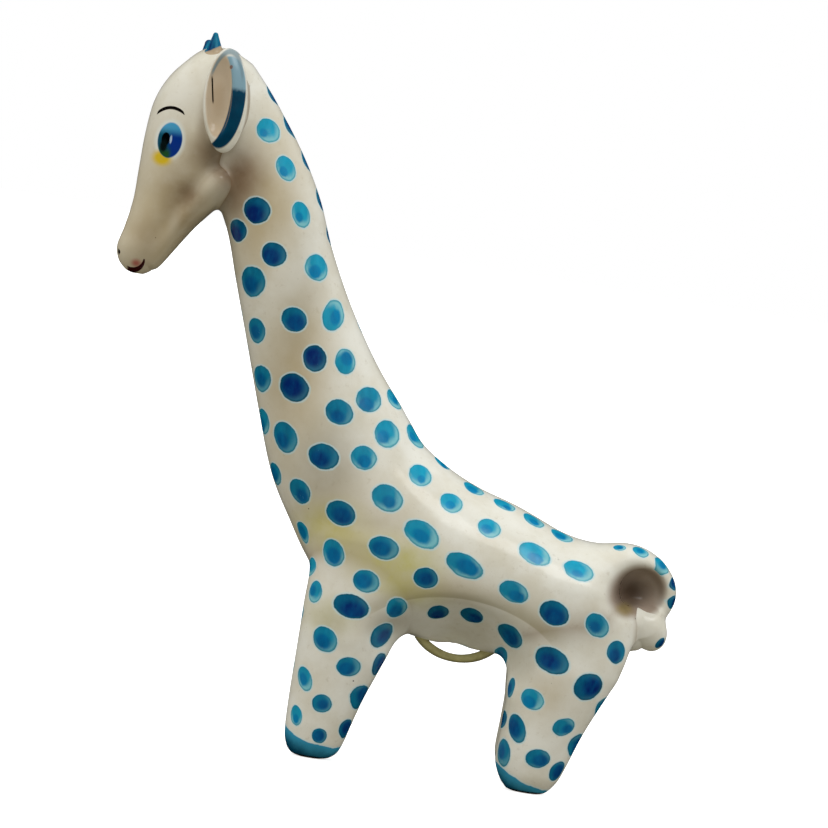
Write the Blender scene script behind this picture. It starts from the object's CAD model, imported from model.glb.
import math

import bpy
import numpy as np
from mathutils import Matrix, Vector


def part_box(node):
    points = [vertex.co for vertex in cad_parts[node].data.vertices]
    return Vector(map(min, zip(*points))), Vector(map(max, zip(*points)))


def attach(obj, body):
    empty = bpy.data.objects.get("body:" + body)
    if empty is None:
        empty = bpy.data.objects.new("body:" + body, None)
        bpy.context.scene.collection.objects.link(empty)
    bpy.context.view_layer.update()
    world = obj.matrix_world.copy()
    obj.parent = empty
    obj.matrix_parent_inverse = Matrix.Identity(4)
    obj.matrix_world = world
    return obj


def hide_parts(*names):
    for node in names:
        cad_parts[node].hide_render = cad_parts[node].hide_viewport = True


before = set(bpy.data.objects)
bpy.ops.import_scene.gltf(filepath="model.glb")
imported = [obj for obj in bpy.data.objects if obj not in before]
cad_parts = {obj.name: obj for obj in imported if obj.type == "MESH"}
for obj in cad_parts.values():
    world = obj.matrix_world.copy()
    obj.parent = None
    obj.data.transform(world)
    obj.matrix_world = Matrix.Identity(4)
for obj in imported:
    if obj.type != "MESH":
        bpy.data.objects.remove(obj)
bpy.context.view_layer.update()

# A glazed earthenware giraffe.  All shapes are worked out in millimetres in the frame's axes:
# the head looks along -X, the giraffe's left side faces -Y and +Z is up.
METRES = 0.001
SEED = 11

# ---------------------------------------------------------------- forms
# A ring of a tube: x, y, z, lean of its upright from +Z towards +X, half height, half width.
# Lean -90 is a level ring, whose half height then lies along X.
LEVEL = -90.0
FAR = 30.0  # beyond this distance a tube's exact distance never matters
UNKNOWN = 1e3  # stands for a distance that no ring has given yet

TORSO = [
    (-122, 0, 348.5, 41, 17.5, 15.5),
    (-111.6, 0, 332.3, 48, 23.7, 20),
    (-97, 0, 309.2, 55, 26.2, 23),
    (-84.4, 0, 286.4, 61, 26.8, 24.5),
    (-74.6, 0, 260.9, 63, 27.6, 26),
    (-61.1, 0, 229.9, 63, 30.1, 27.5),
    (-45.9, 0, 198.5, 60, 34.5, 30.5),
    (-32.3, 0, 173.4, 54, 39.5, 34.5),
    (-21.9, 0, 157, 43, 42, 37.5),
    (-7, 0, 137.5, 30, 45.5, 41),
    (15.3, 0, 123.5, 19.5, 46, 43),
    (39.7, 0, 115.2, 12.5, 44.2, 44),
    (66.6, 0, 110.9, 9, 40.9, 44),
    (91, 0, 106, 9, 36.5, 43.5),
    (113, 0, 103, 9, 31.5, 40.5),
    (127, 0, 100.5, 9, 28.5, 35),
    (138, 0, 98.5, 9, 21, 24.5),
    (145, 0, 96, 9, 13.5, 16),
    (149, 0, 95, 9, 5, 6.5),
]
SHOULDER = 7  # the ring where the neck is luted to the trunk

# Head: z, front, back, width.
HEAD_SLICES = [
    (243.4, -156.3, -149.8, 8),
    (245, -160, -147.4, 15),
    (249.6, -164.3, -143.8, 22.5),
    (257, -166.2, -139.5, 27.5),
    (268, -163.8, -134, 30),
    (283, -161.5, -126, 34.5),
    (300, -161.2, -116.5, 41),
    (320, -160.8, -105, 46),
    (338, -158.7, -101.5, 46),
    (352, -152.8, -104.5, 42),
    (363, -144, -110, 34),
    (369, -137.5, -116, 23),
    (372, -131, -122, 9),
]
JAW = [
    (-150, 0, 249, -56, 3.5, 5),
    (-147.5, 0, 252, -56, 6.2, 9),
    (-141.8, 0, 261.8, -56, 7.2, 13),
    (-133.2, 0, 277, -56, 8.4, 17.5),
    (-125, 0, 289.2, -55, 9.6, 21),
    (-117.4, 0, 299.4, -54, 10.8, 23.8),
    (-114, 0, 304, -54, 9, 21.5),
    (-111.2, 0, 307.8, -54, 4, 13),
]

# Legs: z, front, back, outer and inner face measured from the middle of the figure.
FRONT_LEG_SLICES = [
    (0, -24, -11.5, 33, 20.5),
    (1, -27.4, -7.8, 36.5, 17),
    (2.6, -29.5, -5.2, 38.8, 14.8),
    (5.2, -31.2, -2.9, 40.7, 13),
    (9, -32.6, -1.2, 42, 11.8),
    (14, -33.3, 0.3, 42.6, 11.2),
    (20, -33.7, 1.8, 43, 10.6),
    (35, -34, 6, 43.3, 9.8),
    (48, -34, 10.6, 43.5, 9),
    (60, -34, 15, 43.7, 8.2),
    (70, -34, 19, 44, 7),
    (95, -33.5, 30, 42.5, 5),
    (118, -28, 32, 37, 5),
]
REAR_LEG_SLICES = [
    (0, 93.5, 108, 33, 20.5),
    (1, 90.4, 111, 36.5, 17),
    (2.6, 88.6, 113, 38.8, 14.8),
    (5.2, 86.4, 115.2, 40.7, 13),
    (9, 84.2, 117.6, 42, 11.8),
    (14, 82.3, 119.6, 42.6, 11.2),
    (20, 81.7, 121.6, 43, 10.6),
    (35, 82.2, 126.6, 43.3, 9.8),
    (48, 82.3, 132, 43.5, 9),
    (60, 80.8, 137.4, 43.5, 8.2),
    (70, 79, 141.5, 43, 7),
    (88, 77, 144.6, 40, 5),
    (110, 80, 140, 33, 5),
]

TAIL = [
    (104, 0, 112, -20, 18, 30),
    (122, 0, 119.5, -20, 16.5, 27),
    (136, 0, 130, -6, 11.2, 21),
    (149, 0, 130, 30, 7.4, 15.5),
    (157, 0, 122.5, 58, 6.8, 12),
    (159, 0, 114, 84, 6.6, 9.5),
    (156.2, 0, 105.5, 112, 5.6, 8.5),
    (154.2, 0, 101.5, 115, 3.5, 5),
]
TAIL_ROOT = (118, 130, 14)  # x, z and radius; the tail flows into the rump here, without a crease
TAIL_WEB = ((140.5, 113.5), 18.5, 12)  # centre, radius, half thickness
TAIL_HOLLOW = ((146.6, 14, 117.2), (12.6, 12, 11.4))  # centre of the near or far one, half sizes
HOLLOW_FLARE = 0.018  # how fast the hollow widens outwards, per mm
# Tuft: x, distance from the middle, z and radius of each pair of lobes, and how softly it joins.
TUFT = [(154.2, 8.5, 98, 8.2, 0), (155.8, 7.5, 92.8, 7.3, 6), (144.4, 8, 101.4, 7.6, 4),
        (146.6, 8.5, 90.2, 5.8, 0.6)]

EAR_CENTRE = (-119.5, 23.5, 344)
EAR_HALF = (11.6, 7, 28.6)
EAR_CUP_SHIFT = (-4.3, 5.4, 2.6)
EAR_CUP_HALF = (7.5, 6.4, 23.2)
EAR_LEAN = 6
EAR_FLARE = 6

# Horns: foot, tip, radius at the foot and at the tip.
HORN_LEFT = ((-130.2, -7.5, 365.5), (-131.2, -8.5, 378.2), 6, 1.5)
HORN_RIGHT = ((-133.6, 7.5, 364), (-134.6, 8.5, 373), 5.2, 2.4)

LOOP_ENDS = (30, 73)
LOOP_TOP, LOOP_LOW, LOOP_RADIUS = 73.5, 64, 2.4
LOOP_STEPS = (72, 24)  # along the coil and round it
BELLY_VENT = (8, 2.5, 12)  # x, radius, depth
# The arch that the eye follows under the belly: centre x and z, half sizes.
ARCH = (50, 66, 47, 33.5)
ARCH_EDGE, ARCH_SLOPE = 41.9, 1.5
BELLY_CREASE = (52, 60, 60, 38.5)  # the glaze has pooled along this wider arch

# Width of the soft fillet where each form is luted to the rest.
FILLET = {"leg": 15.0, "head": 5.0, "jaw": 4.5, "ear": 2.6, "horn": 2.2, "tail": 15.0, "tuft": 5.5,
          "web": 4.0}
POLL_FILLET = (314, 336)  # over these heights the head's fillet grows to three times its width
# Rounding of each carved edge.
EDGE = {"cup": 2.2, "hollow": 8.0, "belly": 2.6, "vent": 1.2}
BELLY_LEVEL = 78  # the vent's depth is measured from here


def level_rings(slices, side=0):
    """Level rings from (z, front, back, width) or, for a leg, (z, front, back, outside, inside)."""
    rings = []
    for z, front, back, *across in slices:
        if side:
            y, half_width = side * sum(across) / 2, (across[0] - across[1]) / 2
        else:
            y, half_width = 0.0, across[0] / 2
        rings.append(((front + back) / 2, y, z, LEVEL, (back - front) / 2, half_width))
    return np.array(rings)


def curve(rings, at):
    """Values at fractional places along a Catmull-Rom curve through the rings."""
    knots = np.vstack([2 * rings[0] - rings[1], rings, 2 * rings[-1] - rings[-2]])
    index = np.clip(np.floor(at).astype(int), 0, len(rings) - 2)
    share = (at - index)[:, None]
    before, start, end, after = (knots[index + shift] for shift in range(4))
    bend = 2 * before - 5 * start + 4 * end - after
    twist = 3 * start - before - 3 * end + after
    return start + 0.5 * share * (end - before + share * (bend + share * twist))


def ahead_of(ring, x, z):
    """How far points lie in front of a ring's plane."""
    turn = np.radians(ring[..., 3])
    return (x - ring[..., 0]) * np.cos(turn) - (z - ring[..., 2]) * np.sin(turn)


def oval_distance(x, y, z, ring):
    """Near enough the signed distance from the tube in the plane of that ring."""
    turn = np.radians(ring[..., 3])
    height = (x - ring[..., 0]) * np.sin(turn) + (z - ring[..., 2]) * np.cos(turn)
    u, v = (y - ring[..., 1]) / ring[..., 5], height / ring[..., 4]
    radius = np.maximum(np.hypot(u, v), 1e-6)
    return (radius - 1) * radius / np.hypot(u / ring[..., 5], v / ring[..., 4])


def tube(points, rings):
    """Signed distance from a tube whose rings stand across a line in a plane y = constant."""
    reach = rings[:, 4:].max(axis=1)[:, None]
    low, high = (rings[:, :3] - reach).min(axis=0), (rings[:, :3] + reach).max(axis=0)
    apart = np.linalg.norm(np.maximum(np.maximum(low - points, points - high), 0), axis=1)
    result = apart + FAR
    near = np.flatnonzero(apart < FAR)
    x, y, z = points[near].T
    distance = np.full(len(near), UNKNOWN)
    place = np.zeros(len(near))
    before = first = ahead_of(rings[0], x, z)
    for number, (ring, following) in enumerate(zip(rings, rings[1:])):
        after = ahead_of(following, x, z)
        between = np.flatnonzero((before >= 0) & (after < 0))
        share = before[between] / (before[between] - after[between])
        mixed = ring + (following - ring) * share[:, None]
        found = oval_distance(x[between], y[between], z[between], mixed)
        closer = found < distance[between]
        distance[between[closer]] = found[closer]
        place[between[closer]] = number + share[closer]
        before = after
    beside = np.flatnonzero(distance < UNKNOWN)
    bx, by, bz, at = x[beside], y[beside], z[beside], place[beside]
    for _ in range(2):  # the ring whose plane holds the point exactly
        here = ahead_of(curve(rings[:, :4], at), bx, bz)
        slope = (ahead_of(curve(rings[:, :4], at + 0.02), bx, bz) - here) / 0.02
        at = np.clip(at - np.clip(here / np.minimum(slope, -0.5), -0.5, 0.5), 0, len(rings) - 1)
    distance[beside] = oval_distance(bx, by, bz, curve(rings, at))
    distance = np.maximum(distance, np.where(distance < UNKNOWN, np.maximum(-first, before), -UNKNOWN))
    for ring, beyond, gap in ((rings[0], first < 0, first), (rings[-1], before >= 0, before)):
        beyond = np.flatnonzero(beyond & (distance == UNKNOWN))
        flat = np.maximum(oval_distance(x[beyond], y[beyond], z[beyond], ring), 0)
        distance[beyond] = np.hypot(flat, gap[beyond])
    result[near] = distance
    return result


def ellipsoid(points, half):
    """Near enough the signed distance from an ellipsoid at the origin."""
    half = np.array(half)
    radius = np.maximum(np.linalg.norm(points / half, axis=1), 1e-6)
    slope = np.maximum(np.linalg.norm(points / half ** 2, axis=1), 1e-6)
    return radius * (radius - 1) / slope


def join(a, b, width):
    """Union of two forms with a fillet of that width."""
    share = np.clip(0.5 + 0.5 * (b - a) / width, 0, 1)
    return b + (a - b) * share - width * share * (1 - share)


def carve(a, b, width):
    """Form a with b taken out of it, the edge rounded by that width."""
    return -join(-a, b, width)


def one_sided(points):
    """Points with those of the giraffe's left side mirrored to its right."""
    return points * (1, 0, 1) + np.abs(points) * (0, 1, 0)


def tail_form(points):
    """The curl and the web that closes it."""
    (x, z), radius, half_thickness = TAIL_WEB
    flat = np.hypot(points[:, 0] - x, points[:, 2] - z) - radius
    web = np.maximum(flat, np.abs(points[:, 1]) - half_thickness)
    return join(tube(points, RINGS["tail"]), web, FILLET["web"])


def tuft_form(points):
    """The tuft's pairs of lobes."""
    points = one_sided(points)
    result = None
    for x, y, z, radius, soft in TUFT:
        lobe = np.linalg.norm(points - (x, y, z), axis=1) - radius
        result = lobe if result is None else join(result, lobe, soft)
    return result


def ear_local(points, side):
    """Points in the ear's own axes: x across it, y outwards from the head, z along it."""
    local = points * (1, side, 1) - EAR_CENTRE
    lean, flare = math.radians(EAR_LEAN), math.radians(EAR_FLARE)
    x = local[:, 0] * math.cos(lean) + local[:, 2] * math.sin(lean)
    z = local[:, 2] * math.cos(lean) - local[:, 0] * math.sin(lean)
    y = local[:, 1] * math.cos(flare) + z * math.sin(flare)
    return np.column_stack([x, y, z * math.cos(flare) - local[:, 1] * math.sin(flare)])


def ear_form(points, side):
    """An ear with its cup."""
    local = ear_local(points, side)
    return carve(ellipsoid(local, EAR_HALF), ellipsoid(local - EAR_CUP_SHIFT, EAR_CUP_HALF), EDGE["cup"])


def horn_form(points, horn):
    """A blunt cone."""
    foot, tip, wide, narrow = horn
    foot, along = np.array(foot), np.array(tip) - np.array(foot)
    share = np.clip((points - foot) @ along / (along @ along), 0, 1)
    gap = np.linalg.norm(points - foot - share[:, None] * along, axis=1)
    return gap - wide - (narrow - wide) * share


LEG_NAMES = [f"{end}_{side}_leg" for end in ("front", "rear") for side in ("left", "right")]
RINGS = {"torso": np.array(TORSO), "head": level_rings(HEAD_SLICES), "jaw": np.array(JAW),
         "tail": np.array(TAIL)}


def side_of(name):
    """Where a lump lies: -1 on the giraffe's left, 1 on its right."""
    return -1 if "left" in name else 1


for leg in LEG_NAMES:
    RINGS[leg] = level_rings(FRONT_LEG_SLICES if "front" in leg else REAR_LEG_SLICES, side_of(leg))


def raw_form(points, name):
    """Distance from one luted lump by itself.  The torso stands for both neck and trunk."""
    if name == "head":
        return join(tube(points, RINGS["head"]), tube(points, RINGS["jaw"]), FILLET["jaw"])
    if name == "tail":
        return tail_form(points)
    if name == "tail_tuft":
        return tuft_form(points)
    if name.startswith("ear"):
        return ear_form(points, side_of(name))
    if name.startswith("horn"):
        return horn_form(points, HORN_LEFT if name == "horn_left" else HORN_RIGHT)
    return tube(points, RINGS[name])


def raw_forms(points, wanted):
    return {name: raw_form(points, name) for name in wanted}


def fillet_of(name):
    """Width of the fillet round the named lump."""
    return FILLET["leg" if name in LEG_NAMES else name.replace("tail_", "").split("_")[0]]


def tail_hollow(points):
    """The hollow that the tail curls round, the same on both sides: a bowl that widens outwards."""
    centre, half = TAIL_HOLLOW
    offset = one_sided(points) - centre
    wider = 1 + HOLLOW_FLARE * np.maximum(offset[:, 1], 0)
    offset[:, 1] = np.minimum(offset[:, 1], 0)
    return ellipsoid(offset / wider[:, None], half)


def soffit(points):
    """Negative where clay is pared away under the arch of the belly and down the insides of the legs."""
    x, z, half_x, half_z = ARCH
    u, v = (points[:, 0] - x) / half_x, (points[:, 2] - z) / half_z
    under = (1 - np.hypot(u, v)) * half_z
    return (ARCH_EDGE - ARCH_SLOPE * under - np.abs(points[:, 1])) / math.hypot(1, ARCH_SLOPE)


def surface(points, wanted):
    """The fired surface: every wanted lump joined with its fillet, and the carved hollows."""
    forms = raw_forms(points, wanted)
    result = forms.get("torso")
    for name, distance in forms.items():
        if name != "torso":
            width = fillet_of(name)
            if name == "head":
                width = np.interp(points[:, 2], POLL_FILLET, (width, 3 * width))
            result = distance if result is None else join(result, distance, width)
        if name == "tail":
            result = carve(result, tail_hollow(points), EDGE["hollow"])
    if "torso" in wanted:
        result = carve(result, soffit(points), EDGE["belly"])
        x, radius, depth = BELLY_VENT
        vent = np.hypot(points[:, 0] - x, points[:, 1]) - radius
        vent = np.maximum(vent, points[:, 2] - (BELLY_LEVEL + depth))
        result = carve(result, vent, EDGE["vent"])
    return result


TETRAHEDRON = np.array([(1, 1, 1), (1, -1, -1), (-1, 1, -1), (-1, -1, 1)])


def probe(points, wanted, reach=0.12):
    """The surface's distance at each point and the direction in which it grows fastest."""
    found = np.array([surface(points + reach * corner, wanted) for corner in TETRAHEDRON])
    return found.mean(axis=0), found.T @ TETRAHEDRON / (4 * reach)


def settle(points, wanted, rounds=2):
    """Points moved onto the surface, and the surface's normals there."""
    for _ in range(rounds):
        distance, slope = probe(points, wanted)
        move = -distance / np.maximum((slope ** 2).sum(axis=1), 0.05)
        points = points + np.clip(move[:, None] * slope, -1.0, 1.0)
    slope = probe(points, wanted)[1]
    return points, slope / np.maximum(np.linalg.norm(slope, axis=1), 1e-6)[:, None]


# ---------------------------------------------------------------- meshing
CORNERS = np.array([(i, j, k) for i in (0, 1) for j in (0, 1) for k in (0, 1)])
EDGES = [(a, b) for a in range(8) for b in range(a + 1, 8)
         if np.abs(CORNERS[a] - CORNERS[b]).sum() == 1]


def net(field, origin, step):
    """Triangles over the zero level of a grid of distances, one corner in each mixed cell."""
    inside = field < 0
    shape = np.array(field.shape) - 1
    stacked = [inside[i:i + shape[0], j:j + shape[1], k:k + shape[2]] for i, j, k in CORNERS]
    count = np.sum(stacked, axis=0)
    mixed = (count > 0) & (count < 8)
    cells = np.argwhere(mixed)
    index = np.full(shape, -1)
    index[mixed] = np.arange(len(cells))
    values = np.stack([field[tuple((cells + corner).T)] for corner in CORNERS], axis=1)
    total, hits = np.zeros((len(cells), 3)), np.zeros(len(cells))
    for a, b in EDGES:
        crossed = (values[:, a] < 0) != (values[:, b] < 0)
        share = values[crossed, a] / (values[crossed, a] - values[crossed, b])
        total[crossed] += CORNERS[a] + share[:, None] * (CORNERS[b] - CORNERS[a])
        hits[crossed] += 1
    points = origin + step * (cells + total / hits[:, None])
    quads = []
    for axis in range(3):
        first, second = (axis + 1) % 3, (axis + 2) % 3
        low = [slice(None)] * 3
        high = [slice(None)] * 3
        low[axis], high[axis] = slice(0, -1), slice(1, None)
        here, there = inside[tuple(low)], inside[tuple(high)]
        for leaving in (True, False):
            at = np.argwhere((here & ~there) if leaving else (~here & there))
            at = at[(at[:, first] > 0) & (at[:, second] > 0)
                    & (at[:, first] < shape[first]) & (at[:, second] < shape[second])]
            corners = []
            for back_first, back_second in ((1, 1), (0, 1), (0, 0), (1, 0)):
                cell = at.copy()
                cell[:, first] -= back_first
                cell[:, second] -= back_second
                corners.append(index[tuple(cell.T)])
            quad = np.stack(corners, axis=1)
            quads.append(quad if leaving else quad[:, ::-1])
    quads = np.vstack(quads)
    one = np.linalg.norm(points[quads[:, 0]] - points[quads[:, 2]], axis=1)
    two = np.linalg.norm(points[quads[:, 1]] - points[quads[:, 3]], axis=1)
    short = (one < two)[:, None]
    triangles = np.vstack([np.where(short, quads[:, [0, 1, 2]], quads[:, [1, 2, 3]]),
                           np.where(short, quads[:, [0, 2, 3]], quads[:, [1, 3, 0]])])
    return points, triangles


def sides_of(triangles):
    """The two corners of every side of every triangle."""
    return np.vstack([triangles[:, [0, 1]], triangles[:, [1, 2]], triangles[:, [2, 0]]])


def relax(points, triangles, rounds):
    """Evens out the spacing of the corners."""
    links = sides_of(triangles)
    links = np.vstack([links, links[:, ::-1]])
    degree = np.bincount(links[:, 0], minlength=len(points))
    for _ in range(rounds):
        mean = np.column_stack([np.bincount(links[:, 0], points[links[:, 1], axis], len(points))
                                for axis in range(3)]) / np.maximum(degree, 1)[:, None]
        points = points + 0.5 * (mean - points)
    return points


def cut(points, triangles, level, wanted, partition):
    """Keeps the side of the mesh where level is negative, cut along its zero line."""
    level = np.where(np.abs(level) < 1e-6, 1e-6, level)
    kept = (level < 0)[triangles]
    whole = triangles[kept.all(axis=1)]
    split = triangles[kept.any(axis=1) & ~kept.all(axis=1)]
    pairs = np.sort(sides_of(split), axis=1)
    pairs = pairs[(level[pairs[:, 0]] < 0) != (level[pairs[:, 1]] < 0)]
    pairs = np.unique(pairs, axis=0)
    share = level[pairs[:, 0]] / (level[pairs[:, 0]] - level[pairs[:, 1]])
    fresh = points[pairs[:, 0]] + share[:, None] * (points[pairs[:, 1]] - points[pairs[:, 0]])
    reach = 0.1
    for _ in range(3):  # each new corner slides along the surface to the exact line
        fresh, normals = settle(fresh, wanted, 1)
        off = partition(fresh)
        slope = np.column_stack([partition(fresh + reach * axis) - partition(fresh - reach * axis)
                                 for axis in np.eye(3)]) / (2 * reach)
        slope -= (slope * normals).sum(1)[:, None] * normals
        size = np.maximum((slope ** 2).sum(1), 0.1)
        fresh = fresh - np.clip(off / size, -0.4, 0.4)[:, None] * slope
    names = {tuple(pair): len(points) + number for number, pair in enumerate(pairs.tolist())}
    made = []
    for triangle in split.tolist():
        ring = []
        for here, there in zip(triangle, triangle[1:] + triangle[:1]):
            if level[here] < 0:
                ring.append(here)
            if (level[here] < 0) != (level[there] < 0):
                ring.append(names[(min(here, there), max(here, there))])
        made.append(ring[:3])
        if len(ring) == 4:
            made.append([ring[0], ring[2], ring[3]])
    triangles = np.vstack([whole, np.array(made, int).reshape(-1, 3)])
    points = np.vstack([points, fresh])
    used, triangles = np.unique(triangles, return_inverse=True)
    return points[used], triangles.reshape(-1, 3)


def edge_loops(triangles):
    """The open edges of the mesh, as closed loops of corners."""
    known = {tuple(side) for side in sides_of(triangles).tolist()}
    following = {a: b for a, b in known if (b, a) not in known}
    loops = []
    while following:
        start, here = following.popitem()
        loop = [start]
        while here != start:
            loop.append(here)
            here = following.pop(here)
        loops.append(loop)
    return loops


LID_SHARES = (0.92, 0.84, 0.74, 0.62, 0.48, 0.32, 0.16)
LID_DEPTH = 1.2  # how far under the surface a lid stays


def close(points, triangles, wanted):
    """Closes each open edge with a lid inside the clay, and counts the lid's triangles."""
    lids = []
    for loop in edge_loops(triangles):
        loop = loop[::-1]
        centre = points[loop].mean(0)
        rings = [list(loop)]
        count = len(loop)
        start = len(points)
        for share in LID_SHARES:
            rings.append(list(range(len(points), len(points) + count)))
            points = np.vstack([points, centre + share * (points[loop] - centre)])
        points = np.vstack([points, centre])
        middle = len(points) - 1
        for _ in range(5):
            distance, slope = probe(points[start:], wanted)
            push = np.maximum(distance + LID_DEPTH, 0) / np.maximum((slope ** 2).sum(axis=1), 0.05)
            points[start:] -= np.minimum(push, 3.0)[:, None] * slope
        for outer, inner in zip(rings, rings[1:]):
            for here in range(count):
                there = (here + 1) % count
                lids += [(outer[here], outer[there], inner[there]),
                         (outer[here], inner[there], inner[here])]
        lids += [(rings[-1][here], rings[-1][(here + 1) % count], middle) for here in range(count)]
    if not lids:
        return points, triangles, 0
    return points, np.vstack([triangles, lids]), len(lids)


# ---------------------------------------------------------------- pieces
REAR_END = ["torso", "rear_left_leg", "rear_right_leg", "tail", "tail_tuft"]
FRONT_END = ["torso", "front_left_leg", "front_right_leg"]
# Each piece: the lumps near it, the corner spacing, and the slot that it takes its finish from.
PIECES = {
    "neck": (["torso", "head", "ear_left", "ear_right"], 1.5, "spotted_glaze"),
    "body_shell": (["torso", *LEG_NAMES, "tail", "tail_tuft"], 1.6, "spotted_glaze"),
    "head": (["torso", "head", "ear_left", "ear_right", "horn_left", "horn_right"], 1.0, "face_glaze"),
    "ear_left": (["torso", "head", "ear_left", "horn_left"], 0.7, "ear_glaze"),
    "ear_right": (["torso", "head", "ear_right", "horn_right"], 0.7, "ear_glaze"),
    "horn_left": (["head", "ear_left", "horn_left", "horn_right"], 0.45, "horn_glaze"),
    "horn_right": (["head", "ear_right", "horn_left", "horn_right"], 0.45, "horn_glaze"),
    "tail": (REAR_END, 0.9, "spotted_glaze"),
    "tail_tuft": (REAR_END, 0.7, "white_glaze"),
}
for leg in LEG_NAMES:
    PIECES[leg] = (FRONT_END if "front" in leg else REAR_END, 1.4, "spotted_glaze")
MARGIN = 10.0  # the mesh is made in the CAD's box and this much around it
WIDE_MARGIN = {"tail": 28.0, "body_shell": 20.0, "rear_left_leg": 18.0, "tail_tuft": 16.0}
COARSE = 4  # steps between the rough grid's corners


def past_shoulder(points):
    """How far the points are past the cut at the shoulder, towards the rump."""
    return ahead_of(RINGS["torso"][SHOULDER], points[:, 0], points[:, 2])


def partition_for(name, wanted):
    """A function that is negative where the surface belongs to the named piece."""
    own = "torso" if name in ("neck", "body_shell") else name

    def partition(points):
        forms = raw_forms(points, wanted)
        others = np.min([forms[other] for other in forms if other != own], axis=0)
        level = forms[own] - others
        if own == "torso":
            past = past_shoulder(points)
            level = np.maximum(level, past if name == "neck" else -past)
        return level

    return partition


def banded_field(low, step, count, wanted):
    """Distances on a grid, worked out only near the surface and roughly elsewhere."""
    coarse_count = (count - 1) // COARSE + 2
    axes = [low[axis] + step * COARSE * np.arange(coarse_count[axis]) for axis in range(3)]
    grid = np.stack(np.meshgrid(*axes, indexing="ij"), axis=-1).reshape(-1, 3)
    coarse = surface(grid, wanted).reshape(coarse_count)
    nearest = np.ix_(*[(np.arange(count[axis]) + COARSE // 2) // COARSE for axis in range(3)])
    field = coarse[nearest]
    close_by = np.argwhere(np.abs(field) < 1.2 * COARSE * step)
    field[tuple(close_by.T)] = surface(low + step * close_by, wanted)
    return field


def build_mesh(name):
    """Corners, triangles, number of lid triangles and normals of one piece."""
    wanted, step, _slot = PIECES[name]
    low, high = (np.array(corner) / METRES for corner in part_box(name))
    margin = WIDE_MARGIN.get(name, MARGIN)
    low, high = low - margin, high + margin
    count = np.ceil((high - low) / step).astype(int) + 1
    points, triangles = net(banded_field(low, step, count, wanted), low, step)
    points = relax(points, triangles, 3)
    points, _normals = settle(points, wanted)
    partition = partition_for(name, wanted)
    points, triangles = cut(points, triangles, partition(points), wanted, partition)
    points, triangles, lid_count = close(points, triangles, wanted)
    _settled, normals = settle(points, wanted, 0)
    return points, triangles, lid_count, normals


def mirrored(mesh):
    """The same mesh on the giraffe's other side."""
    points, triangles, lid_count, normals = mesh
    return points * (1, -1, 1), triangles[:, ::-1], lid_count, normals * (1, -1, 1)


def new_object(name, points, faces):
    """A smooth object whose corners are given in millimetres."""
    mesh = bpy.data.meshes.new(name)
    mesh.from_pydata((points * METRES).tolist(), [], faces)
    mesh.polygons.foreach_set("use_smooth", np.ones(len(faces), bool))
    made = bpy.data.objects.new(name, mesh)
    bpy.context.scene.collection.objects.link(made)
    return made


def make_piece(name, points, triangles, lid_count, normals):
    """A piece with the exact normals of its surface, and flat ones on its lids."""
    piece = new_object(name, points, triangles.tolist())
    corner_normals = normals[triangles]
    if lid_count:
        lids = triangles[-lid_count:]
        flat = np.cross(points[lids[:, 1]] - points[lids[:, 0]], points[lids[:, 2]] - points[lids[:, 0]])
        flat /= np.maximum(np.linalg.norm(flat, axis=1), 1e-9)[:, None]
        corner_normals[-lid_count:] = flat[:, None]
    piece.data.normals_split_custom_set(corner_normals.reshape(-1, 3).tolist())
    return piece


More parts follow.
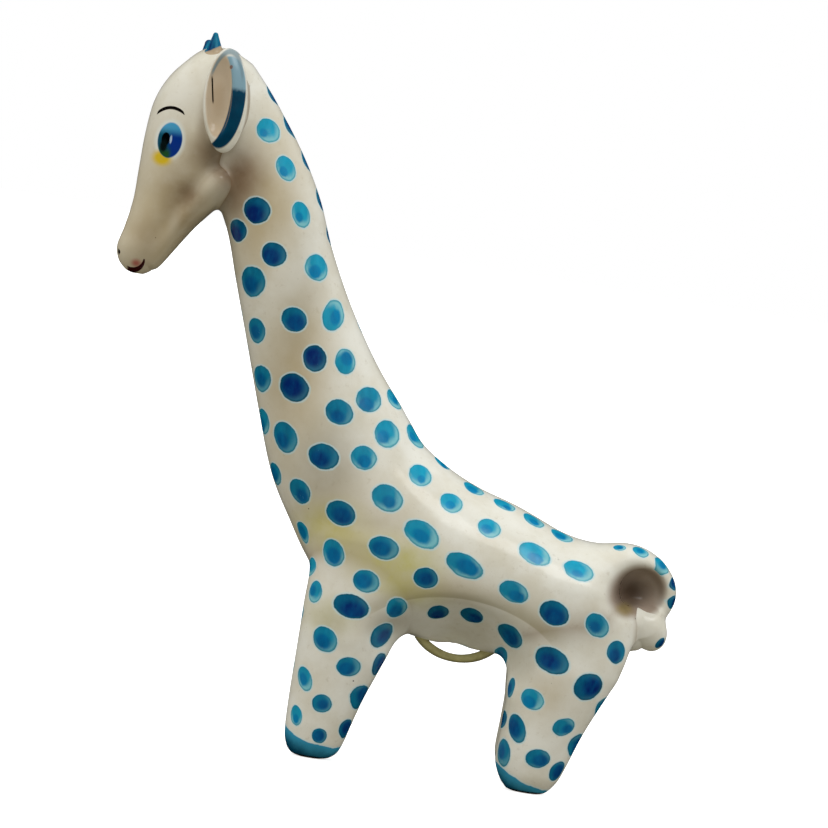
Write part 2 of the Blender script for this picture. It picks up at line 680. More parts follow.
# ---------------------------------------------------------------- painted dabs
# Dabs on the giraffe's left side: x, z, half length, half breadth, turn from +X towards +Z in
# degrees, and how thick the paint is, from 0 for a pale wash to 1 for navy.
DABS = [
    # neck
    (-94.5, 331.5, 7, 5.8, -25, 0.2), (-81.5, 313, 7.2, 4.8, -60, 0.2),
    (-93.5, 288, 7.4, 7, -20, 0.95), (-102, 275.5, 6.2, 4.5, -60, 0.95),
    (-69.5, 289.5, 7.3, 4.6, -65, 0.25), (-80.5, 266, 7, 6.4, -25, 0.9),
    (-56.5, 262.5, 7.3, 5.9, -75, 0.25), (-89.5, 249.5, 8, 6.8, -45, 0.75),
    (-43.5, 238.5, 7.9, 6.2, 65, 0.3), (-64, 233, 7.2, 6.5, -25, 0.8),
    (-83.5, 223.5, 6.8, 4.6, -55, 0.7), (-49.5, 214, 7.3, 6.4, -70, 0.95),
    (-33, 215, 6.5, 5.7, 80, 0.4), (-76.5, 198, 7.2, 4.8, -60, 0.65),
    (-58, 196.5, 8.4, 7.3, -20, 0.98), (-17, 196.5, 7, 6.6, -50, 0.5),
    (-31.5, 187.5, 7.8, 6.6, -20, 0.7), (-4, 180, 7.2, 6.9, -20, 0.35),
    (-72, 175, 7, 2.6, -60, 0.5), (-58.5, 169, 8.2, 6.6, -30, 0.7),
    (-36, 162.5, 8.5, 6.8, -10, 0.85), (-14.5, 165.5, 7.2, 6.4, -25, 0.45),
    (-61, 148, 6.2, 3, -55, 0.6), (-46, 141.5, 6.6, 5.6, -15, 0.7),
    (-22, 134, 8.2, 6.4, -10, 0.8), (-40.5, 119.5, 6.4, 2.6, -58, 0.5),
    # back of the neck and along the back
    (-95.5, 351, 6.4, 1, -50, 0.85), (-82.8, 336, 7.2, 1, -52, 0.8),
    (-70.6, 319.5, 6.4, 1, -58, 0.8), (-59.6, 299.8, 6.8, 1, -62, 0.8),
    (-50.6, 282.2, 5.4, 1, -62, 0.8), (-3.5, 198.5, 6.3, 2.5, -55, 0.35),
    (11, 180.3, 7.4, 2.6, -48, 0.25), (28, 168, 5.2, 1.7, -30, 0.3),
    (47, 157.5, 6.1, 1.9, -20, 0.3), (65, 151.5, 6.4, 1.9, -16, 0.3),
    (82, 145.8, 6.5, 2, -18, 0.3), (98.5, 140, 6.5, 2.1, -22, 0.3),
    # trunk
    (17, 160.5, 6.5, 5.2, -30, 0.2), (36, 148.7, 6.4, 4.8, -25, 0.2),
    (58.5, 138.5, 6.4, 4.6, -22, 0.2), (1.5, 146, 8.8, 6.9, -25, 0.5),
    (23, 130, 10.4, 6.6, -25, 0.4), (4, 119.5, 8.3, 6.2, -8, 0.65),
    (-22.5, 112, 7.4, 5.8, -45, 0.55), (29, 107, 6.8, 5.5, -5, 0.8),
    (-2.5, 100, 7.4, 6, -8, 0.6), (48.5, 117, 10.8, 6, -18, 0.5),
    (38.5, 89.5, 5.8, 4.7, 5, 0.9), (57, 90.5, 6.2, 4.8, 5, 0.85),
    (85, 129, 9.2, 5.2, -18, 0.12), (110, 123.5, 8.6, 4.8, -10, 0.15),
    (77, 107.5, 8.4, 5.5, -15, 0.5), (100.5, 99.5, 8.4, 6.5, -18, 0.85),
    (124.5, 96.5, 7.2, 5.8, -30, 0.6), (137.5, 83.5, 6.3, 5.1, -75, 0.75),
    (79.5, 83.5, 7.6, 5.1, -15, 0.75), (103.5, 74, 9.8, 6.7, -20, 0.85),
    (125, 63, 8, 7.1, 20, 0.9),
    # tail
    (130.5, 138.8, 3.4, 2.8, 0, 0.4), (142.3, 138.6, 4.7, 4, -15, 0.35),
    (155, 133, 5.2, 3.2, -55, 0.35), (163.1, 123.6, 3.6, 1.5, -75, 0.9),
    (164.4, 113.6, 3.9, 1.7, 80, 0.9), (160.7, 91, 3.4, 1.8, 60, 0.9),
    # front leg
    (-33.2, 102, 5, 1.8, -80, 0.3), (-28.5, 89.5, 5.8, 3.7, -70, 0.4),
    (-8.5, 85.5, 9.8, 6.4, -8, 0.9), (16, 88.5, 5.8, 5.2, 20, 0.6),
    (10, 72.5, 6.6, 5.6, 20, 0.8), (-19.5, 65.5, 7.4, 6.2, -35, 0.6),
    (-4.5, 53, 6.6, 5.3, 5, 0.65), (11.5, 56, 6, 3, 50, 0.9),
    (-27, 42.5, 6.6, 3.9, -50, 0.4), (4.5, 37, 6.6, 4.2, 48, 0.75),
    (-15.5, 31, 5.5, 4.9, 0, 0.7), (-28, 22, 5.4, 3.2, -60, 0.35),
    (-0.5, 19, 5, 3.2, 50, 0.9), (-14, 13.5, 4.2, 4.1, 0, 0.75),
    # rear leg
    (134.5, 52.5, 6.6, 2.8, 62, 0.7), (84.5, 55, 5, 1.9, -70, 0.7),
    (96.5, 51.5, 6.6, 5.4, -20, 0.4), (115.5, 39.5, 6.2, 4.6, 20, 0.6),
    (83, 37.5, 4.8, 1.3, -80, 0.8), (91, 34.5, 7.6, 4.6, -55, 0.75),
    (124, 30, 6.4, 3.4, 52, 0.75), (86, 20, 7.2, 3.6, -65, 0.65),
    (104.5, 20.5, 6.8, 5.1, 5, 0.7), (116, 15, 5.6, 3.6, 45, 0.8),
]
EVERY_FORM = ["torso", *LEG_NAMES, "head", "ear_left", "ear_right", "tail", "tail_tuft"]
# Dabs where the side view does not reach: least distance apart, and usual half size.
DAB_GAP, DAB_HALF = 17.5, 6.6
# Y of a normal that has just turned away from the giraffe's left, and of one that faces the side.
TURNED_AWAY, FACING_SIDE = 0.12, 0.97


def outline_points(dabs, random):
    """Where each dab of the left side lies on the surface, and on the right side its partner."""
    flat = np.array([(x, z) for x, z, *_rest in dabs])
    depths = np.arange(-52.0, 0.5, 1.0)
    rays = np.array([(x, y, z) for x, z in flat for y in depths])
    field = surface(rays, EVERY_FORM).reshape(len(flat), len(depths))
    hit = np.where((field < 0).any(axis=1), (field < 0).argmax(axis=1), field.argmin(axis=1))
    left = np.column_stack([flat[:, 0], depths[hit], flat[:, 1]])
    left, left_normals = settle(left, EVERY_FORM, 6)
    right = left * (1, -1, 1) + random.uniform(-2.6, 2.6, (len(left), 3)) * (1, 0, 1)
    right, right_normals = settle(right, EVERY_FORM, 6)
    return left, left_normals, right, right_normals


def dab_frame(centre, normal, long, broad, turn):
    """A dab whose long and broad directions look as given from the side."""
    turn = math.radians(turn)
    seen_along = np.array((math.cos(turn), 0, math.sin(turn)))
    seen_across = np.array((-math.sin(turn), 0, math.cos(turn)))
    along = seen_along - (normal @ seen_along) * normal
    along /= np.linalg.norm(along)
    across = np.cross(normal, along)
    axes = []
    for axis, seen, size in ((along, seen_along, long), (across, seen_across, broad)):
        share = max(abs(axis @ seen), 1e-3)
        axes.append(axis / min(size / share, 1.2 * max(long, broad)))
    return centre, normal, axes[0], axes[1]


def side_dabs(random):
    """Dabs of both sides.  A dab on the ridge of the neck or back is shared by the two sides."""
    made = []
    left, left_normals, right, right_normals = outline_points(DABS, random)
    for number, (_x, _z, long, broad, turn, paint) in enumerate(DABS):
        made.append((*dab_frame(left[number], left_normals[number], long, broad, turn), paint))
        apart = np.linalg.norm(np.array([dab[0] for dab in made]) - right[number], axis=1)
        if abs(left[number][1]) < 5.0 or apart.min() < long + 9:
            continue
        grow = random.uniform(0.88, 1.14)
        turn += random.uniform(-25, 25)
        made.append((*dab_frame(right[number], right_normals[number], long * grow, broad * grow,
                                turn), min(max(paint + random.uniform(-0.2, 0.2), 0.1), 1.0)))
    return made


def left_bare(name, point, normal):
    """Whether a place takes no fill dab: it faces the side, or is near the face, a hoof, tail or arch."""
    (x, _y, z), sideways = point, normal[1]
    faces_left = "right_leg" not in name and sideways <= TURNED_AWAY
    by_face = name == "neck" and z > 300 and x < -100
    by_hoof = z < 17
    by_tail = x > 126 and 56 < z < 128
    by_arch = "rear" in name and x < 84 and z > 54
    below = name == "body_shell" and normal[2] < -0.8
    return faces_left or abs(sideways) > FACING_SIDE or by_face or by_hoof or by_tail or by_arch or below


def fill_dabs(made, meshes, random):
    """Dabs where the side view does not reach: the far side of each curve and inside the legs."""
    for name in ("body_shell", "neck", *LEG_NAMES):
        points, _triangles, _lid_count, normals = meshes[name]
        skin = np.flatnonzero(np.abs(surface(points, PIECES[name][0])) < 0.2)
        for number in random.permutation(skin):
            point, normal = points[number], normals[number]
            if left_bare(name, point, normal):
                continue
            centres = np.array([dab[0] for dab in made])
            if (np.linalg.norm(centres - point, axis=1) < DAB_GAP).any():
                continue
            across = np.cross(normal, (0.3, 0.2, 1.0))
            across /= np.linalg.norm(across)
            other = np.cross(normal, across)
            long, broad = DAB_HALF * random.uniform(0.95, 1.2), DAB_HALF * random.uniform(0.75, 0.95)
            made.append((point, normal, across / long, other / broad, random.uniform(0.3, 0.9)))
    return made


def dab_fields(points, normals, dabs):
    """For each corner: the nearest dab's two coordinates, its paint and seed, and the edge value."""
    edge = np.full(len(points), 3.0)
    place = np.zeros((len(points), 3))
    seeds = np.zeros(len(points))
    for number, (centre, normal, along, across, paint) in enumerate(dabs):
        offset = points - centre
        near = np.flatnonzero((np.abs(offset) < 26).all(axis=1))
        if not len(near):
            continue
        offset = offset[near]
        u, v = offset @ along, offset @ across
        lift = np.maximum(np.abs(offset @ normal) - 5.0, 0) / 3.0
        turned = np.maximum(-(normals[near] @ normal), 0) * 3.0
        value = np.sqrt(u ** 2 + v ** 2 + lift ** 2 + turned ** 2)
        closer = value < edge[near]
        chosen = near[closer]
        edge[chosen] = value[closer]
        place[chosen] = np.column_stack([u, v, np.full(len(u), paint)])[closer]
        seeds[chosen] = number * 0.618 % 1.0
    return edge, place, seeds


def set_values(mesh, **fields):
    """Stores a number or a vector at each corner of the mesh, under each name."""
    for name, values in fields.items():
        values = np.asarray(values, np.float32)
        kind, key = ("FLOAT", "value") if values.ndim == 1 else ("FLOAT_VECTOR", "vector")
        mesh.attributes.new(name, kind, "POINT").data.foreach_set(key, values.ravel())


HOOVES = {"front": (-33.5, 1.5), "rear": (81.5, 121.5)}  # x of toe and heel
NO_HOOF = 60.0  # the level of everything but the legs


def hoof_level(name, points):
    """Millimetres above the upper border of the hoof's blue stroke."""
    if name not in LEG_NAMES:
        return np.full(len(points), NO_HOOF)
    end = name.split("_")[0]
    toe, heel = HOOVES[end]
    share = np.clip((points[:, 0] - toe) / (heel - toe), 0, 1)
    if end == "front":
        return points[:, 2] - (7.0 + 8.5 * (1 - share) ** 3 + 2.0 * share ** 3)
    return points[:, 2] - (3.0 + 12.0 * (1 - share) ** 2.4)


# ---------------------------------------------------------------- materials
class Term:
    """A value that the shader works out, which takes part in sums like a number."""

    def __init__(self, nodes, socket):
        self.nodes, self.socket = nodes, socket

    def __add__(self, other):
        return self.nodes.math("ADD", self, other)

    def __sub__(self, other):
        return self.nodes.math("SUBTRACT", self, other)

    def __rsub__(self, other):
        return self.nodes.math("SUBTRACT", other, self)

    def __mul__(self, other):
        return self.nodes.math("MULTIPLY", self, other)

    def __truediv__(self, other):
        return self.nodes.math("DIVIDE", self, other)

    def __abs__(self):
        return self.nodes.math("ABSOLUTE", self)


def on_screen(colour):
    """A colour given as it looks on screen, from 0 to 255, as the shader wants it."""
    shares = [value / 255 for value in colour]
    return (*(share / 12.92 if share <= 0.04045 else ((share + 0.055) / 1.055) ** 2.4 for share in shares), 1)


class Nodes:
    """The nodes of one material or of the world."""

    def __init__(self, tree):
        self.tree = tree

    def feed(self, node, inputs):
        """Sets or links sockets of a node, from the first one on or by name."""
        for socket, value in inputs.items() if isinstance(inputs, dict) else enumerate(inputs):
            if isinstance(value, Term):
                self.tree.links.new(value.socket, node.inputs[socket])
            else:
                node.inputs[socket].default_value = value

    def add(self, kind, inputs=(), out=0, **settings):
        """One output of a new node."""
        node = self.tree.nodes.new("ShaderNode" + kind)
        for name, value in settings.items():
            setattr(node, name, value)
        self.feed(node, inputs)
        return Term(self, node.outputs[out])

    def math(self, operation, *values, clamp=False):
        return self.add("Math", values, operation=operation, use_clamp=clamp)

    def split(self, vector):
        return [self.add("SeparateXYZ", (vector,), axis) for axis in range(3)]

    def length(self, u, v):
        return self.math("SQRT", u * u + v * v)

    def ramp(self, value, low, high, start=0.0, end=1.0):
        """Smooth step of value from low to high."""
        return self.add("MapRange", (value, low, high, start, end), interpolation_type="SMOOTHSTEP")

    def blend(self, share, one, two):
        return self.add("Mix", {"Factor": share, 6: one, 7: two}, 2, data_type="RGBA")

    def mix(self, share, *colours):
        """Mixes two colours, each a term or as it looks on screen."""
        return self.blend(share, *(value if isinstance(value, Term) else on_screen(value)
                                   for value in colours))


class Paint(Nodes):
    """A painted glaze: its material, places in millimetres, and the colour laid so far."""

    def __init__(self, name):
        self.material = bpy.data.materials.new(name)
        self.material.use_nodes = True
        super().__init__(self.material.node_tree)
        place = self.add("TexCoord", (), "Object")
        self.place = self.add("VectorMath", {0: place, "Scale": 1 / METRES}, operation="SCALE")
        self.x, self.y, self.z = self.split(self.place)
        self.colour = None

    def coat(self, share, ink):
        """Lays ink over the colour so far."""
        self.colour = self.mix(share, self.colour, ink)

    def noise(self, scale, detail=3.0, roughness=0.55, seed=0.0, stretch=None):
        """Noise of about one wave in scale millimetres."""
        place = self.place
        if stretch:
            place = self.add("VectorMath", (place, stretch), operation="MULTIPLY")
        return self.add("TexNoise", {"Vector": place, "W": seed, "Scale": 1.0 / scale, "Detail": detail,
                                     "Roughness": roughness}, "Fac", noise_dimensions="4D")

    def ragged(self, scale, size, seed=0.0):
        """Noise from about -size / 2 to size / 2, which makes an edge uneven."""
        return (self.noise(scale, seed=seed) - 0.5) * size

    def field(self, name, out="Fac"):
        """What build_pieces has stored at the corners under that name."""
        return self.add("Attribute", (), out, attribute_name=name)

    def distance(self, x, z, half_x=1.0, half_z=1.0):
        """Distance in the side view from a point, 1 at the given half sizes."""
        return self.length((self.x - x) / half_x, (self.z - z) / half_z)

    def wash(self, ink, stains, low=0.6):
        """Soft stains: x, z, half sizes and weight in the side view, a little cloudy."""
        cloud = self.ramp(self.noise(13.0, seed=5.0), 0.3, 0.65, low, 1.0)
        for x, z, half_x, half_z, weight in stains:
            near = self.ramp(self.distance(x, z, half_x, half_z), 0.0, 1.1, weight, 0.0)
            self.coat(near * cloud, ink)


WHITE = (240, 239, 231)
CREAM = (222, 217, 201)
POOLED = (134, 108, 80)
OCHRE = (206, 202, 98)
HALO = (198, 228, 236)
BEIGE = (198, 182, 148)
SMOKE = (150, 140, 116)
STAIN = (92, 72, 54)
BISCUIT = (196, 160, 128)
# Blue of a dab at its rim, in between and in its thick blob: first thin paint, then thick.
RIM = (40, 164, 192), (0, 78, 98)
WASH = (26, 176, 214), (0, 84, 126)
BLOB = (0, 152, 206), (0, 40, 112)
PALE = (140, 206, 214)


def finish_glaze(paint, painted):
    """Gloss, orange-peel bump and pinholes that all the glazed pieces share."""
    cells = paint.add("TexVoronoi", {"Vector": paint.place, "Scale": 1 / 13.0}, "Distance", feature="F1")
    seldom = paint.ramp(paint.noise(16.0, 1.0, seed=4.0), 0.49, 0.53)
    pins = paint.ramp(cells, 0.022, 0.045, 1.0, 0.0) * seldom
    paint.coat(pins * 0.85, (70, 52, 38))
    rough = paint.ramp(paint.noise(9.0, seed=2.0), 0.35, 0.75, 0.12, 0.22)
    height = paint.noise(22.0, 2.0, seed=7.0) * 0.9 + paint.noise(2.4, 2.0, seed=9.0) * 0.05
    height = height - pins * 0.25 + painted * 0.06
    bump = paint.add("Bump", {"Strength": 0.55, "Distance": METRES, "Height": height})
    paint.feed(paint.tree.nodes["Principled BSDF"], {
        "Base Color": paint.colour, "Roughness": rough + painted * 0.06, "IOR": 1.5,
        "Specular IOR Level": 0.5, "Normal": bump})
    return paint.material


def base_glaze(paint):
    """Off-white tin glaze that pools brown in the creases and in the hollow of the tail."""
    cloudy = paint.ramp(paint.noise(34.0, 5.0, roughness=0.62, seed=1.0), 0.32, 0.72)
    paint.colour = paint.mix(cloudy, WHITE, CREAM)
    speckled = paint.ramp(paint.noise(3.0, 4.0, roughness=0.7, seed=14.0), 0.56, 0.72, 0.0, 0.22)
    paint.coat(speckled, (172, 158, 132))
    paint.coat(paint.ramp(paint.field("crease"), 0.0, 1.6) * 0.6, POOLED)
    hollow = paint.ramp(paint.field("hollow"), 0.0, 1.0)
    paint.coat(hollow * 0.8, (142, 118, 100))
    deep = paint.ramp(paint.distance(140.0, 115.0, 13.0, 12.0), 0.1, 1.1, 0.85, 0.0)
    paint.coat(hollow * deep, (74, 54, 38))
    olive = paint.ramp(paint.distance(138.0, 106.0, 7.0, 5.0), 0.2, 1.1, 0.7, 0.0)
    paint.coat(hollow * olive, (142, 124, 66))


def body_washes(paint):
    """Yellow-green on the chest, beige up the neck, brown behind the jaw and under the belly's arch."""
    paint.wash(OCHRE, ((-26, 126, 28, 20, 0.95), (12, 112, 34, 22, 0.85), (26, 98, 24, 12, 0.5),
                       (-19, 78, 20, 16, 0.35)))
    paint.wash(BEIGE, ((-90, 290, 30, 60, 1.0), (-58, 205, 28, 66, 0.95), (-22, 130, 60, 50, 0.45),
                       (42, 104, 40, 12, 0.45), (106, 58, 20, 26, 0.45)), 0.85)
    paint.wash(SMOKE, ((-32, 160, 26, 34, 0.55), (-62, 235, 18, 60, 0.3), (14, 80, 24, 12, 0.5),
                       (-18, 76, 16, 16, 0.35)), 0.85)
    arch = paint.distance(*BELLY_CREASE)
    pooled = paint.ramp(arch, 1.0, 1.02) * paint.ramp(arch, 1.01, 1.3, 0.5, 0.0)
    paint.coat(pooled * paint.ramp(paint.z, 76.0, 92.0), (150, 138, 96))
    paint.wash(POOLED, ((-105, 303, 20, 26, 1.0), (-107, 290, 12, 18, 0.6)), 0.85)
    paint.wash(STAIN, ((-106, 306, 9, 14, 0.4),))


def dab(paint):
    """Blue brush dabs: a pale halo, a teal rim, a thin pale crescent and a thick blob off the middle."""
    u, v, thick = paint.split(paint.field("dab", "Vector"))
    seed = paint.field("dab_seed")

    def chance(times, low, high):
        return paint.math("FRACT", seed * times) * (high - low) + low

    def away(from_u, from_v):
        return paint.length(u - from_u, v - from_v)

    edge = paint.field("dab_edge") + paint.ragged(5.0, 0.22, 3.0)
    painted = paint.ramp(edge, 0.97, 1.03, 1.0, 0.0)
    streak = paint.noise(3.4, seed=6.0, stretch=(1.0, 1.0, 0.45)) - 0.5
    size = chance(31.0, 0.28, 0.48) + thick * 0.12
    gap = away(chance(7.0, -0.2, 0.35), chance(13.0, -0.45, 0.0)) - size + streak * 0.3
    blob = paint.ramp(gap, -0.08, thick * 0.5 + 0.05, 1.0, 0.0)
    thin = paint.ramp(thick, 0.35, 0.85, 0.9, 0.12)
    crescent = paint.ramp(away(-0.35, 0.15) + streak * 0.5, 0.62, 1.2, 0.0, thin)
    thick = paint.math("ADD", thick, streak * 0.6, clamp=True)
    blue = paint.mix(crescent, paint.mix(thick, *WASH), PALE)
    blue = paint.mix(blob, blue, paint.mix(thick, *BLOB))
    blue = paint.mix(paint.ramp(edge, 0.8, 0.97, 0.0, 0.75), blue, paint.mix(thick, *RIM))
    paint.coat(paint.ramp(edge, 1.03, 1.17, 0.75, 0.0), HALO)
    paint.coat(painted, blue)
    return painted


def shoe(paint, painted):
    """The blue stroke round each hoof, the dark line at the floor and the bare sole."""
    uneven = paint.ragged(8.0, 2.6, 8.0)
    level = paint.field("hoof") + uneven
    stroke = paint.ramp(level, -0.25, 0.25, 1.0, 0.0)
    deep = paint.ramp(level + uneven * 1.5, -9.0, -0.5, 1.0, 0.0)
    blue = paint.mix(deep, (54, 152, 190), (0, 74, 108))
    paint.coat(paint.ramp(level, 0.2, 1.3, 0.6, 0.0), HALO)
    paint.coat(stroke, blue)
    on_leg = paint.ramp(paint.field("hoof"), 40.0, 50.0, 1.0, 0.0)
    paint.coat(paint.ramp(paint.z, 0.8, 1.9, 1.0, 0.0) * on_leg, (34, 40, 44))
    paint.coat(paint.ramp(paint.z, 0.1, 0.35, 1.0, 0.0) * on_leg, BISCUIT)
    return paint.math("MAXIMUM", painted, stroke)


def spotted_glaze():
    """Trunk, neck, legs and tail: washes, dabs and hooves."""
    paint = Paint("spotted_glaze")
    base_glaze(paint)
    body_washes(paint)
    return finish_glaze(paint, shoe(paint, dab(paint)))


EYE = (-146.2, 318.0)  # x and z of its middle
IRIS = (6.7, 9.6)  # its half sizes


def face_glaze():
    """The head: eye, brow, nostril and mouth, painted alike on both sides."""
    paint = Paint("face_glaze")
    base_glaze(paint)
    paint.wash(BEIGE, ((-138, 282, 50, 72, 1.0), (-150, 262, 28, 34, 0.6), (-125, 350, 30, 36, 0.3)), 0.8)
    paint.wash(POOLED, ((-110, 310, 20, 22, 1.0), (-126, 314, 15, 14, 0.65), (-135, 286, 17, 28, 0.55),
                        (-151, 262, 15, 20, 0.35), (-129, 334, 6, 24, 0.5), (-131.5, 290, 8, 9, 0.45)), 0.7)
    paint.wash(STAIN, ((-115, 311, 13, 12, 0.65), (-130, 292, 13, 12, 0.28), (-108, 304, 8, 12, 0.4)))
    paint.wash(CREAM, ((-121.5, 296, 9, 8, 0.25), (-137, 273, 5, 12, 0.3)))
    outside = paint.ramp(abs(paint.y), 6.0, 9.0)

    def layer(place, half, ink, soft=0.08, weight=1.0):
        share = paint.ramp(paint.distance(*place, *half), 1 - soft, 1 + soft, weight, 0.0) * outside
        paint.coat(share, ink)
        return share

    layer(EYE, (8.2, 11.0), (232, 238, 236), 0.18, 0.8)
    yellow = paint.ramp(paint.distance(-149.0, 307.8, 6.8, 5.4), 0.4, 1.1, 1.0, 0.0)
    paint.coat(yellow * outside, (222, 190, 42))
    iris = layer(EYE, IRIS, (70, 160, 206), 0.06)
    blue = paint.mix(paint.ramp(paint.x, -148.5, -144.5), (0, 78, 104), (0, 50, 140))
    paint.coat(iris * paint.ramp(paint.z, 325.5, 319.5), blue)
    green = paint.ramp(paint.z, 315.0, 310.5) * paint.ramp(paint.x, -143.5, -146.5)
    paint.coat(iris * green, (30, 84, 40))
    layer((-148.6, 318.2), (2.3, 3.6), (2, 4, 8), 0.1)
    layer((-149.2, 314.5), (2.0, 3.4), (8, 22, 22), 0.4)
    layer((-145.7, 318.4), (0.6, 2.2), (196, 220, 240), 0.35, 0.75)

    above = paint.z - (paint.x * 0.137 + 352.2)  # over the chord between the brow's ends
    thin = paint.ramp(above, -0.4, 2.2, 0.2, 0.85)
    arc = abs(paint.distance(-147.3, 326.0) - 9.5)
    brow = paint.ramp(arc - thin, -0.12, 0.18, 1.0, 0.0) * paint.ramp(above, -0.5, 0.1) * outside
    paint.coat(brow, (14, 10, 10))

    paint.coat(paint.ramp(paint.distance(-153.9, 249.0, 4.4, 3.4), 0.1, 1.0, 0.85, 0.0), (176, 84, 76))
    outer = paint.ramp(paint.distance(-156.3, 250.3), 6.75, 7.05, 1.0, 0.0)
    inner = paint.ramp(paint.distance(-156.3, 252.3), 5.75, 6.1)
    mouth = outer * inner * paint.ramp(paint.z, 252.2, 251.6) * paint.ramp(paint.x, -159.4, -157.6)
    paint.coat(mouth, (58, 8, 12))

    nostril = paint.distance(-164.0, 253.6, 2.0, 2.0) + abs((abs(paint.y) - 5.8) / 2.2)
    paint.coat(paint.ramp(nostril, 0.85, 1.05, 1.0, 0.0), (20, 20, 18))
    return finish_glaze(paint, paint.math("MAXIMUM", paint.math("MAXIMUM", iris, brow), mouth))


def ear_glaze():
    """The ears: a beige cup, a dark blue stroke down the rear rim and a thin grey one over the top."""
    paint = Paint("ear_glaze")
    base_glaze(paint)
    paint.coat(paint.ramp(paint.field("cup"), 0.1, 0.9, 0.0, 0.75), (190, 164, 130))
    rear = paint.ramp(paint.distance(-126.5, 344.0, 9.4, 25.5), 0.97, 1.03)
    within = paint.ramp(paint.distance(-120.0, 343.0, 11.0, 25.5), 0.96, 1.02, 1.0, 0.0)
    stroke = rear * within * paint.ramp(paint.x, -125.6, -124.4)
    upper = paint.ramp(paint.z + paint.ragged(5.0, 5.0, 3.0), 349.0, 352.5)
    deep = paint.mix(paint.noise(7.0, seed=2.0), (0, 44, 72), (0, 74, 104))
    paint.coat(stroke, paint.mix(upper, deep, (134, 168, 184)))
    ring = abs(paint.distance(-120.9, 343.8, 10.0, 27.6) - 0.97)
    line = paint.ramp(ring, 0.03, 0.09, 0.8, 0.0) * paint.ramp(paint.z, 354.0, 360.0)
    paint.coat(line, (120, 146, 158))
    slant = abs(paint.x - ((355.0 - paint.z) * 0.2 - 128.9))  # the dark slit at the front of the cup
    ends = paint.ramp(paint.z, 340.5, 343.0) * paint.ramp(paint.z, 356.5, 354.0)
    paint.coat(paint.ramp(slant, 0.3, 0.55, 1.0, 0.0) * ends, (24, 16, 12))
    paint.coat(paint.ramp(paint.distance(-119.5, 362.3, 1.0, 1.3), 0.6, 1.1, 0.8, 0.0), (130, 84, 66))
    return finish_glaze(paint, stroke)


def horn_glaze():
    """Dark blue with streaks, down to a slanting border above the bare foot."""
    paint = Paint("horn_glaze")
    stripes = paint.noise(4.0, 2.0, seed=1.5, stretch=(1.0, 1.0, 0.16))
    paint.colour = paint.mix(paint.ramp(stripes, 0.35, 0.65), (20, 122, 158), (0, 44, 104))
    border = paint.z + paint.ragged(4.0, 2.0, 2.5) - (paint.x + 130.4) * 0.55
    bare = paint.ramp(border, 370.4, 371.4, 1.0, 0.0)
    paint.coat(bare, (186, 166, 140))
    return finish_glaze(paint, 1.0 - bare)


def white_glaze():
    """The tuft: the bare glaze with a dab or two."""
    paint = Paint("white_glaze")
    base_glaze(paint)
    return finish_glaze(paint, dab(paint))


def olive_glaze():
    """The loop's yellow-green, darker underneath."""
    paint = Paint("olive_glaze")
    cloudy = paint.ramp(paint.noise(7.0, seed=1.0), 0.3, 0.7)
    paint.colour = paint.mix(cloudy, (212, 206, 150), (182, 175, 122))
    under = paint.ramp(paint.field("under"), 0.1, 0.95, 0.0, 0.7)
    paint.coat(under, (112, 106, 68))
    return finish_glaze(paint, under)


MATERIALS = {make.__name__: make() for make in (spotted_glaze, face_glaze, ear_glaze, horn_glaze,
                                                white_glaze, olive_glaze)}


# ---------------------------------------------------------------- building
def keep(piece, slot, *nodes):
    """Finishes a piece and ties it to the CAD nodes that it stands for."""
    piece.data.materials.append(MATERIALS[slot])
    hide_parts(*nodes)
    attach(piece, "root")


def build_loop():
    """The thin loop under the belly: a bent coil of clay whose ends run into the belly."""
    middle = (LOOP_ENDS[0] + LOOP_ENDS[1]) / 2
    half = (LOOP_ENDS[1] - LOOP_ENDS[0]) / 2
    drop = LOOP_TOP - LOOP_LOW
    radius = (half ** 2 + drop ** 2) / (2 * drop)
    reach = math.asin(half / radius)
    count, around = LOOP_STEPS
    points, under, faces = [], [], []
    for step in range(count + 1):
        turn = reach * (2 * step / count - 1)
        out = np.array([math.sin(turn), 0, -math.cos(turn)])
        centre = np.array([middle, 0, LOOP_LOW + radius]) + radius * out
        thickness = LOOP_RADIUS * (1 - 0.06 * math.cos(5 * turn / reach))
        for side in range(around):
            angle = 2 * math.pi * side / around
            direction = math.cos(angle) * out + math.sin(angle) * np.array([0, 1, 0])
            points.append(centre + thickness * direction)
            under.append(math.cos(angle))
            here, there = step * around + side, step * around + (side + 1) % around
            faces.append((here, there, there + around, here + around))
    faces[-around:] = [range(around - 1, -1, -1), range(count * around, (count + 1) * around)]
    piece = new_object("belly_loop_piece", np.array(points), faces)
    set_values(piece.data, under=under)
    keep(piece, "olive_glaze", "belly_loop")


# How strongly glaze pools in a piece's creases.
CREASE_SHARE = {"ear_left": 1.0, "ear_right": 1.0, "tail_tuft": 0.15}
USUAL_CREASE = 0.3
POLL, POLL_FADE = 334, 12  # no crease above this height, and the full one that much lower
HOLLOW_FADE, CUP_FADE = 3.5, 1.5  # over this distance the tone of a hollow fades outside it


def crease(name, points):
    """How deep the fillet over a crease is at each corner, weighed by how much glaze pools there."""
    share = CREASE_SHARE.get(name, USUAL_CREASE)
    if name in ("neck", "head"):
        share = np.clip((POLL - points[:, 2]) / POLL_FADE, 0, 1)
    x, z, radius = TAIL_ROOT
    root = np.hypot(points[:, 0] - x, points[:, 2] - z)
    share = share * np.clip((root - radius) / radius, 0, 1)
    return share * np.min(list(raw_forms(points, PIECES[name][0]).values()), axis=0)


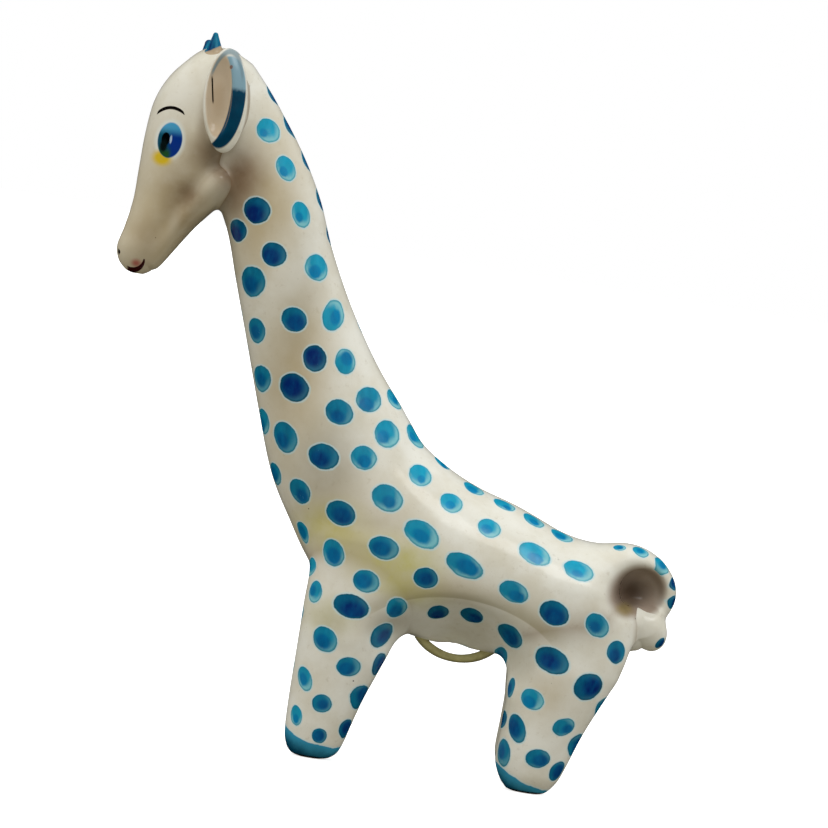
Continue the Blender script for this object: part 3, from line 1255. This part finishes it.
def build_pieces():
    """Meshes every lump of clay, then paints and keeps it."""
    random = np.random.RandomState(SEED)
    meshes = {}
    for name in PIECES:
        twin = name.replace("right", "left")
        twins = twin in meshes and not name.startswith("horn")
        meshes[name] = mirrored(meshes[twin]) if twins else build_mesh(name)
    dabs = fill_dabs(side_dabs(random), meshes, random)
    for name, (_wanted, _step, slot) in PIECES.items():
        points, triangles, lid_count, normals = meshes[name]
        piece = make_piece(name + "_piece", points, triangles, lid_count, normals)
        set_values(piece.data, crease=crease(name, points))
        if name in ("body_shell", "tail", "rear_left_leg", "rear_right_leg"):
            set_values(piece.data, hollow=np.clip(1 - tail_hollow(points) / HOLLOW_FADE, 0, 1))
        if slot in ("spotted_glaze", "white_glaze"):
            edge, place, seeds = dab_fields(points, normals, dabs)
            set_values(piece.data, dab_edge=edge, dab=place, dab_seed=seeds, hoof=hoof_level(name, points))
        if name.startswith("ear"):
            cup = ellipsoid(ear_local(points, side_of(name)) - EAR_CUP_SHIFT, EAR_CUP_HALF)
            set_values(piece.data, cup=np.clip(1 - cup / CUP_FADE, 0, 1))
        keep(piece, slot, name)


build_pieces()
build_loop()


# ---------------------------------------------------------------- stage
def build_floor(size):
    """A plain white floor that takes the shadow but lights nothing."""
    corners = np.array([(-1, -1, 0), (1, -1, 0), (1, 1, 0), (-1, 1, 0)]) * size / 2
    floor = new_object("floor", corners, [(0, 1, 2, 3)])
    material = bpy.data.materials.new("floor")
    material.use_nodes = True
    Nodes(material.node_tree).feed(material.node_tree.nodes["Principled BSDF"], {
        "Base Color": (0.8, 0.8, 0.8, 1), "Roughness": 1.0, "Specular IOR Level": 0.0,
        "Emission Color": (1, 1, 1, 1), "Emission Strength": 0.75})
    floor.data.materials.append(material)
    floor.visible_diffuse = False
    floor.visible_glossy = False


MIDDLE = Vector((0.0, 0.0, 0.19))
LAMP_COLOUR = (1.0, 0.99, 0.97)
SKY_TOWARDS = (0.15, 0.10, 0.97)
SKY_LOW = (0.30, 0.28, 0.22, 1)
SKY_HIGH = (1.22, 1.23, 1.21, 1)


def build_sky():
    """White at the horizon, bright above and to the right, dim and warm below."""
    world = bpy.data.worlds.new("studio")
    world.use_nodes = True
    nodes = Nodes(world.node_tree)
    way = nodes.add("TexCoord", (), "Generated")
    toward = nodes.add("VectorMath", (way, SKY_TOWARDS), "Value", operation="DOT_PRODUCT")
    shade = nodes.blend(nodes.ramp(toward, -0.35, 1.0), SKY_LOW, SKY_HIGH)
    _right, behind, above = nodes.split(way)
    # the white band stays off the side that the camera looks from
    lifted = abs(above) + nodes.math("LESS_THAN", behind, -0.3)
    horizon = nodes.add("MapRange", (lifted, 0.08, 0.10, 1.0, 0.0))
    nodes.feed(world.node_tree.nodes["Background"], {"Color": nodes.blend(horizon, shade, (1, 1, 1, 1))})
    world.cycles_visibility.glossy = False
    bpy.context.scene.world = world


def soft_light(name, place, size, power, colour, mirrored_in_glaze=True):
    """A rectangular light aimed at the middle of the figure."""
    data = bpy.data.lights.new(name, "AREA")
    data.shape = "RECTANGLE"
    data.size, data.size_y = size
    data.energy = power
    data.color = colour
    light = bpy.data.objects.new(name, data)
    light.location = place
    light.rotation_mode = "QUATERNION"
    light.rotation_quaternion = (MIDDLE - Vector(place)).to_track_quat("-Z", "Y")
    light.visible_camera = False
    light.visible_glossy = mirrored_in_glaze
    bpy.context.scene.collection.objects.link(light)


build_floor(40.0 / METRES)
build_sky()
bpy.context.scene.view_settings.view_transform = "Standard"
soft_light("window", (0.45, -0.85, 1.5), (0.9, 0.5), 4.0, LAMP_COLOUR)
soft_light("fill", (-1.1, -0.35, 0.6), (0.8, 0.8), 2.6, LAMP_COLOUR, False)

# The figure is seen square from its left side, and the camera is rolled so that it leans.
ROLL = math.radians(9.3)
ELEVATION = math.radians(2.0)
CAMERA_DISTANCE = 4.0
AIM = Vector((0.0084, -0.02, 0.1927))
SEEN_WIDTH = 0.4494
camera_data = bpy.data.cameras.new("camera")
camera_data.sensor_width = 36.0
camera_data.lens = camera_data.sensor_width * CAMERA_DISTANCE / SEEN_WIDTH
camera_data.clip_end = 100.0
camera = bpy.data.objects.new("camera", camera_data)
bpy.context.scene.collection.objects.link(camera)
back = Vector((0, -math.cos(ELEVATION), math.sin(ELEVATION)))
level_right = Vector((1, 0, 0))
level_up = back.cross(level_right)
right = math.cos(ROLL) * level_right + math.sin(ROLL) * level_up
up = math.cos(ROLL) * level_up - math.sin(ROLL) * level_right
turn = Matrix((right, up, back)).transposed().to_4x4()
camera.matrix_world = Matrix.Translation(AIM + CAMERA_DISTANCE * back) @ turn
bpy.context.scene.camera = camera
